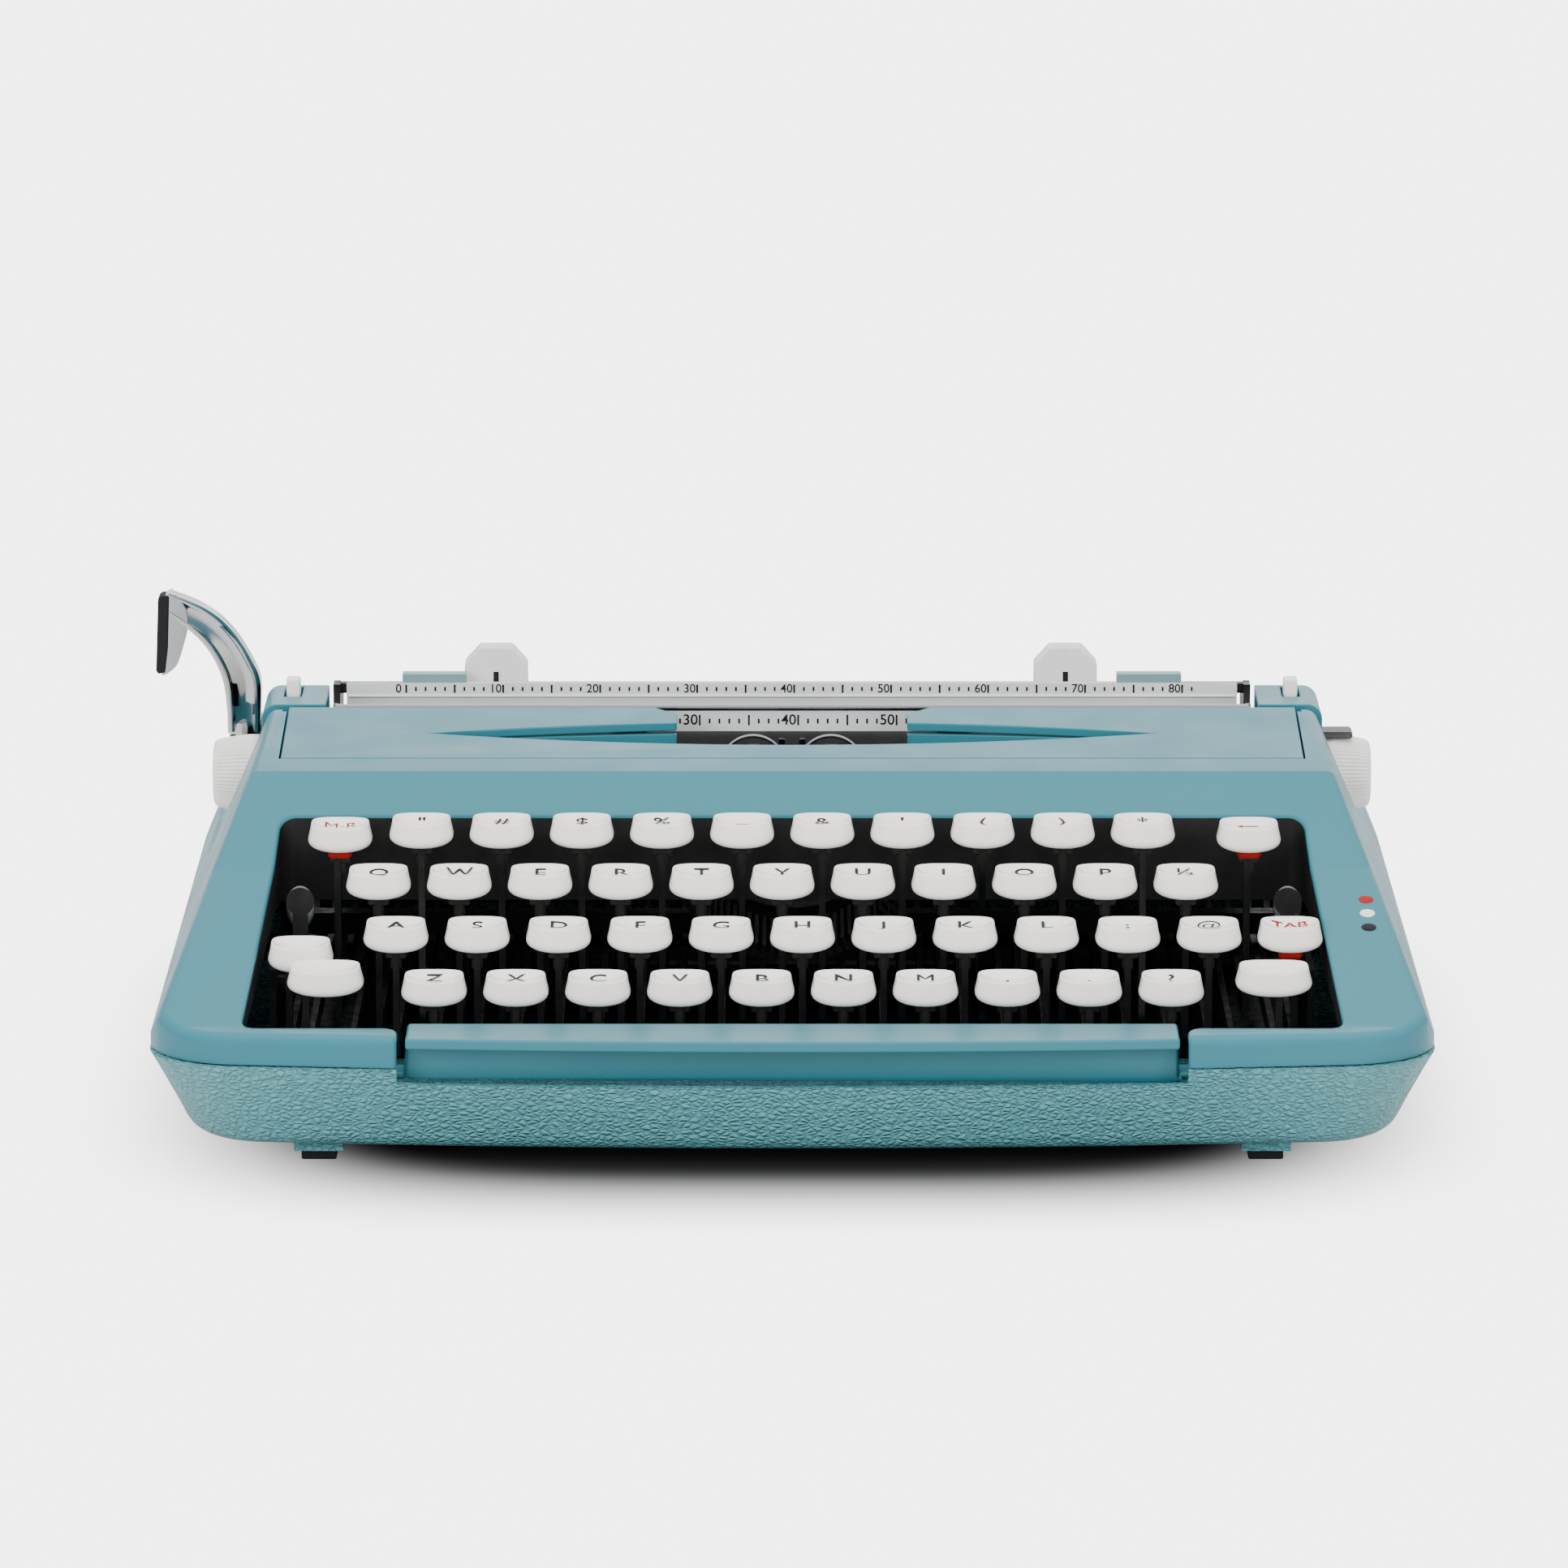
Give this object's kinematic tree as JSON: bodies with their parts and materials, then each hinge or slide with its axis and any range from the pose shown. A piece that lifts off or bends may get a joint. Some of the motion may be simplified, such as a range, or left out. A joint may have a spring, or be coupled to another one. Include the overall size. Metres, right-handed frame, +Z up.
{
  "type": "portable typewriter",
  "caption": "Flat portable manual typewriter with a low case, dished keys, a moving carriage with platen and a hooked return lever.",
  "frame": {"origin": "under the middle of the machine's bounding box, on the surface it stands on", "axes": "+X to the typist's right, +Y to the back, +Z up"},
  "size_m": [0.3171, 0.275, 0.1091],
  "materials": {
    "case_smooth": "satin",
    "case_grained": "pebbled satin",
    "rubber": "matte",
    "mechanism": "blackened",
    "type_steel": "satin",
    "key_cap": "gloss",
    "key_legend": "matte",
    "red_mark": "matte",
    "chrome": "polished",
    "spool": "matte",
    "scale_metal": "satin",
    "platen_rubber": "satin",
    "stop_plastic": "translucent white",
    "ribbon_fabric": "inked"
  },
  "bodies": {
    "root": {"bottom_shell": "case_grained", "top_housing": "case_smooth", "rubber_feet": "rubber", "chassis_frame": "mechanism", "type_segment": "mechanism", "typebars": "type_steel"},
    "ribbon_cover": {"ribbon_cover": "case_smooth"},
    "space_bar": {"space_bar": "case_smooth"},
    "shift_keys": {"shift_keys": "key_cap"},
    "margin_release_key": {"margin_release_key": "key_cap"},
    "backspace_key": {"backspace_key": "key_cap"},
    "tab_key": {"tab_key": "key_cap"},
    "ribbon_selector": {"ribbon_selector": "chrome"},
    "touch_lever": {"touch_lever": "chrome"},
    "ribbon_spool_left": {"ribbon_spool_left": "spool"},
    "ribbon_spool_right": {"ribbon_spool_right": "spool"},
    "carriage": {"carriage_frame": "mechanism", "carriage_end_covers": "case_smooth", "paper_table": "scale_metal"},
    "platen": {"platen": "platen_rubber", "platen_knobs": "key_cap"},
    "paper_bail": {"paper_bail": "scale_metal"},
    "margin_stop_left": {"margin_stop_left": "stop_plastic"},
    "margin_stop_right": {"margin_stop_right": "stop_plastic"},
    "line_space_lever": {"line_space_lever": "key_cap"},
    "release_lever": {"release_lever": "key_cap"},
    "return_lever": {"return_lever": "chrome"},
    "number_row_keys": {"number_row_keys": "key_cap"},
    "key_q": {"key_q": "key_cap"},
    "key_w": {"key_w": "key_cap"},
    "key_e": {"key_e": "key_cap"},
    "key_r": {"key_r": "key_cap"},
    "key_t": {"key_t": "key_cap"},
    "key_y": {"key_y": "key_cap"},
    "key_u": {"key_u": "key_cap"},
    "key_i": {"key_i": "key_cap"},
    "key_o": {"key_o": "key_cap"},
    "key_p": {"key_p": "key_cap"},
    "key_fraction": {"key_fraction": "key_cap"},
    "key_a": {"key_a": "key_cap"},
    "key_s": {"key_s": "key_cap"},
    "key_d": {"key_d": "key_cap"},
    "key_f": {"key_f": "key_cap"},
    "key_g": {"key_g": "key_cap"},
    "key_h": {"key_h": "key_cap"},
    "key_j": {"key_j": "key_cap"},
    "key_k": {"key_k": "key_cap"},
    "key_l": {"key_l": "key_cap"},
    "key_semicolon": {"key_semicolon": "key_cap"},
    "key_at": {"key_at": "key_cap"},
    "key_z": {"key_z": "key_cap"},
    "key_x": {"key_x": "key_cap"},
    "key_c": {"key_c": "key_cap"},
    "key_v": {"key_v": "key_cap"},
    "key_b": {"key_b": "key_cap"},
    "key_n": {"key_n": "key_cap"},
    "key_m": {"key_m": "key_cap"},
    "key_comma": {"key_comma": "key_cap"},
    "key_period": {"key_period": "key_cap"},
    "key_slash": {"key_slash": "key_cap"}
  },
  "joints": [
    {"name": "carriage_travel", "type": "slide", "parent": "root", "child": "carriage", "axis": [1, 0, 0], "range_m": [-0.1005, 0.1005]},
    {"name": "platen_turn", "type": "hinge", "parent": "carriage", "child": "platen", "pos_m": [0, 0.053, 0.0615], "axis": [1, 0, 0], "continuous": true},
    {"name": "bail_lift", "type": "hinge", "parent": "carriage", "child": "paper_bail", "pos_m": [0, 0.064, 0.0666], "axis": [-1, 0, 0], "range_deg": [0, 40]},
    {"name": "return_lever_push", "type": "hinge", "parent": "carriage", "child": "return_lever", "pos_m": [-0.1436, 0.08, 0.07], "axis": [0, 0, 1], "range_deg": [0, 28], "stiffness_Nm_per_rad": 0.2, "springref_deg": -11.46},
    {"name": "left_margin_slide", "type": "slide", "parent": "carriage", "child": "margin_stop_left", "axis": [1, 0, 0], "range_m": [-0.025, 0.06]},
    {"name": "right_margin_slide", "type": "slide", "parent": "carriage", "child": "margin_stop_right", "axis": [1, 0, 0], "range_m": [-0.06, 0.025]},
    {"name": "line_space_select", "type": "hinge", "parent": "carriage", "child": "line_space_lever", "pos_m": [-0.1293, 0.0535, 0.0704], "axis": [1, 0, 0], "range_deg": [-12, 12]},
    {"name": "carriage_release", "type": "hinge", "parent": "carriage", "child": "release_lever", "pos_m": [0.1293, 0.0535, 0.0704], "axis": [1, 0, 0], "range_deg": [-12, 12]},
    {"name": "cover_open", "type": "hinge", "parent": "root", "child": "ribbon_cover", "pos_m": [0, -0.0099, 0.07774], "axis": [1, 0, 0], "range_deg": [0, 85]},
    {"name": "left_spool_turn", "type": "hinge", "parent": "root", "child": "ribbon_spool_left", "pos_m": [-0.084, 0.008, 0.059], "axis": [0, 0, 1], "continuous": true},
    {"name": "right_spool_turn", "type": "hinge", "parent": "root", "child": "ribbon_spool_right", "pos_m": [0.084, 0.008, 0.059], "axis": [0, 0, 1], "continuous": true},
    {"name": "touch_set", "type": "hinge", "parent": "root", "child": "touch_lever", "pos_m": [-0.122, -0.063, 0.033], "axis": [1, 0, 0], "range_deg": [-8, 8]},
    {"name": "ribbon_select", "type": "hinge", "parent": "root", "child": "ribbon_selector", "pos_m": [0.1228, -0.063, 0.033], "axis": [1, 0, 0], "range_deg": [-8, 8]},
    {"name": "space_bar_press", "type": "hinge", "parent": "root", "child": "space_bar", "pos_m": [0, 0.06, 0.03], "axis": [1, 0, 0], "range_deg": [0, 1.5], "stiffness_Nm_per_rad": 1.2, "springref_deg": -8.59},
    {"name": "shift_press", "type": "hinge", "parent": "root", "child": "shift_keys", "pos_m": [0, 0.06, 0.03], "axis": [1, 0, 0], "range_deg": [0, 2.8], "stiffness_Nm_per_rad": 1.2, "springref_deg": -8.59},
    {"name": "margin_release_press", "type": "hinge", "parent": "root", "child": "margin_release_key", "pos_m": [0, 0.06, 0.03], "axis": [1, 0, 0], "range_deg": [0, 4.6], "stiffness_Nm_per_rad": 0.3, "springref_deg": -8.59},
    {"name": "backspace_press", "type": "hinge", "parent": "root", "child": "backspace_key", "pos_m": [0, 0.06, 0.03], "axis": [1, 0, 0], "range_deg": [0, 4.6], "stiffness_Nm_per_rad": 0.3, "springref_deg": -8.59},
    {"name": "tab_press", "type": "hinge", "parent": "root", "child": "tab_key", "pos_m": [0, 0.06, 0.03], "axis": [1, 0, 0], "range_deg": [0, 3.6], "stiffness_Nm_per_rad": 0.3, "springref_deg": -8.59},
    {"name": "number_row_press", "type": "hinge", "parent": "root", "child": "number_row_keys", "pos_m": [0, 0.06, 0.03], "axis": [1, 0, 0], "range_deg": [0, 5.4], "stiffness_Nm_per_rad": 3, "springref_deg": -8.59},
    {"name": "key_q_press", "type": "hinge", "parent": "root", "child": "key_q", "pos_m": [0, 0.06, 0.03], "axis": [1, 0, 0], "range_deg": [0, 4.6], "stiffness_Nm_per_rad": 0.3, "springref_deg": -8.59},
    {"name": "key_w_press", "type": "hinge", "parent": "root", "child": "key_w", "pos_m": [0, 0.06, 0.03], "axis": [1, 0, 0], "range_deg": [0, 4.6], "stiffness_Nm_per_rad": 0.3, "springref_deg": -8.59},
    {"name": "key_e_press", "type": "hinge", "parent": "root", "child": "key_e", "pos_m": [0, 0.06, 0.03], "axis": [1, 0, 0], "range_deg": [0, 4.6], "stiffness_Nm_per_rad": 0.3, "springref_deg": -8.59},
    {"name": "key_r_press", "type": "hinge", "parent": "root", "child": "key_r", "pos_m": [0, 0.06, 0.03], "axis": [1, 0, 0], "range_deg": [0, 4.6], "stiffness_Nm_per_rad": 0.3, "springref_deg": -8.59},
    {"name": "key_t_press", "type": "hinge", "parent": "root", "child": "key_t", "pos_m": [0, 0.06, 0.03], "axis": [1, 0, 0], "range_deg": [0, 4.6], "stiffness_Nm_per_rad": 0.3, "springref_deg": -8.59},
    {"name": "key_y_press", "type": "hinge", "parent": "root", "child": "key_y", "pos_m": [0, 0.06, 0.03], "axis": [1, 0, 0], "range_deg": [0, 4.6], "stiffness_Nm_per_rad": 0.3, "springref_deg": -8.59},
    {"name": "key_u_press", "type": "hinge", "parent": "root", "child": "key_u", "pos_m": [0, 0.06, 0.03], "axis": [1, 0, 0], "range_deg": [0, 4.6], "stiffness_Nm_per_rad": 0.3, "springref_deg": -8.59},
    {"name": "key_i_press", "type": "hinge", "parent": "root", "child": "key_i", "pos_m": [0, 0.06, 0.03], "axis": [1, 0, 0], "range_deg": [0, 4.6], "stiffness_Nm_per_rad": 0.3, "springref_deg": -8.59},
    {"name": "key_o_press", "type": "hinge", "parent": "root", "child": "key_o", "pos_m": [0, 0.06, 0.03], "axis": [1, 0, 0], "range_deg": [0, 4.6], "stiffness_Nm_per_rad": 0.3, "springref_deg": -8.59},
    {"name": "key_p_press", "type": "hinge", "parent": "root", "child": "key_p", "pos_m": [0, 0.06, 0.03], "axis": [1, 0, 0], "range_deg": [0, 4.6], "stiffness_Nm_per_rad": 0.3, "springref_deg": -8.59},
    {"name": "key_fraction_press", "type": "hinge", "parent": "root", "child": "key_fraction", "pos_m": [0, 0.06, 0.03], "axis": [1, 0, 0], "range_deg": [0, 4.6], "stiffness_Nm_per_rad": 0.3, "springref_deg": -8.59},
    {"name": "key_a_press", "type": "hinge", "parent": "root", "child": "key_a", "pos_m": [0, 0.06, 0.03], "axis": [1, 0, 0], "range_deg": [0, 4], "stiffness_Nm_per_rad": 0.3, "springref_deg": -8.59},
    {"name": "key_s_press", "type": "hinge", "parent": "root", "child": "key_s", "pos_m": [0, 0.06, 0.03], "axis": [1, 0, 0], "range_deg": [0, 4], "stiffness_Nm_per_rad": 0.3, "springref_deg": -8.59},
    {"name": "key_d_press", "type": "hinge", "parent": "root", "child": "key_d", "pos_m": [0, 0.06, 0.03], "axis": [1, 0, 0], "range_deg": [0, 4], "stiffness_Nm_per_rad": 0.3, "springref_deg": -8.59},
    {"name": "key_f_press", "type": "hinge", "parent": "root", "child": "key_f", "pos_m": [0, 0.06, 0.03], "axis": [1, 0, 0], "range_deg": [0, 4], "stiffness_Nm_per_rad": 0.3, "springref_deg": -8.59},
    {"name": "key_g_press", "type": "hinge", "parent": "root", "child": "key_g", "pos_m": [0, 0.06, 0.03], "axis": [1, 0, 0], "range_deg": [0, 4], "stiffness_Nm_per_rad": 0.3, "springref_deg": -8.59},
    {"name": "key_h_press", "type": "hinge", "parent": "root", "child": "key_h", "pos_m": [0, 0.06, 0.03], "axis": [1, 0, 0], "range_deg": [0, 4], "stiffness_Nm_per_rad": 0.3, "springref_deg": -8.59},
    {"name": "key_j_press", "type": "hinge", "parent": "root", "child": "key_j", "pos_m": [0, 0.06, 0.03], "axis": [1, 0, 0], "range_deg": [0, 4], "stiffness_Nm_per_rad": 0.3, "springref_deg": -8.59},
    {"name": "key_k_press", "type": "hinge", "parent": "root", "child": "key_k", "pos_m": [0, 0.06, 0.03], "axis": [1, 0, 0], "range_deg": [0, 4], "stiffness_Nm_per_rad": 0.3, "springref_deg": -8.59},
    {"name": "key_l_press", "type": "hinge", "parent": "root", "child": "key_l", "pos_m": [0, 0.06, 0.03], "axis": [1, 0, 0], "range_deg": [0, 4], "stiffness_Nm_per_rad": 0.3, "springref_deg": -8.59},
    {"name": "key_semicolon_press", "type": "hinge", "parent": "root", "child": "key_semicolon", "pos_m": [0, 0.06, 0.03], "axis": [1, 0, 0], "range_deg": [0, 4], "stiffness_Nm_per_rad": 0.3, "springref_deg": -8.59},
    {"name": "key_at_press", "type": "hinge", "parent": "root", "child": "key_at", "pos_m": [0, 0.06, 0.03], "axis": [1, 0, 0], "range_deg": [0, 4], "stiffness_Nm_per_rad": 0.3, "springref_deg": -8.59},
    {"name": "key_z_press", "type": "hinge", "parent": "root", "child": "key_z", "pos_m": [0, 0.06, 0.03], "axis": [1, 0, 0], "range_deg": [0, 3.5], "stiffness_Nm_per_rad": 0.3, "springref_deg": -8.59},
    {"name": "key_x_press", "type": "hinge", "parent": "root", "child": "key_x", "pos_m": [0, 0.06, 0.03], "axis": [1, 0, 0], "range_deg": [0, 3.5], "stiffness_Nm_per_rad": 0.3, "springref_deg": -8.59},
    {"name": "key_c_press", "type": "hinge", "parent": "root", "child": "key_c", "pos_m": [0, 0.06, 0.03], "axis": [1, 0, 0], "range_deg": [0, 3.5], "stiffness_Nm_per_rad": 0.3, "springref_deg": -8.59},
    {"name": "key_v_press", "type": "hinge", "parent": "root", "child": "key_v", "pos_m": [0, 0.06, 0.03], "axis": [1, 0, 0], "range_deg": [0, 3.5], "stiffness_Nm_per_rad": 0.3, "springref_deg": -8.59},
    {"name": "key_b_press", "type": "hinge", "parent": "root", "child": "key_b", "pos_m": [0, 0.06, 0.03], "axis": [1, 0, 0], "range_deg": [0, 3.5], "stiffness_Nm_per_rad": 0.3, "springref_deg": -8.59},
    {"name": "key_n_press", "type": "hinge", "parent": "root", "child": "key_n", "pos_m": [0, 0.06, 0.03], "axis": [1, 0, 0], "range_deg": [0, 3.5], "stiffness_Nm_per_rad": 0.3, "springref_deg": -8.59},
    {"name": "key_m_press", "type": "hinge", "parent": "root", "child": "key_m", "pos_m": [0, 0.06, 0.03], "axis": [1, 0, 0], "range_deg": [0, 3.5], "stiffness_Nm_per_rad": 0.3, "springref_deg": -8.59},
    {"name": "key_comma_press", "type": "hinge", "parent": "root", "child": "key_comma", "pos_m": [0, 0.06, 0.03], "axis": [1, 0, 0], "range_deg": [0, 3.5], "stiffness_Nm_per_rad": 0.3, "springref_deg": -8.59},
    {"name": "key_period_press", "type": "hinge", "parent": "root", "child": "key_period", "pos_m": [0, 0.06, 0.03], "axis": [1, 0, 0], "range_deg": [0, 3.5], "stiffness_Nm_per_rad": 0.3, "springref_deg": -8.59},
    {"name": "key_slash_press", "type": "hinge", "parent": "root", "child": "key_slash", "pos_m": [0, 0.06, 0.03], "axis": [1, 0, 0], "range_deg": [0, 3.5], "stiffness_Nm_per_rad": 0.3, "springref_deg": -8.59}
  ]
}
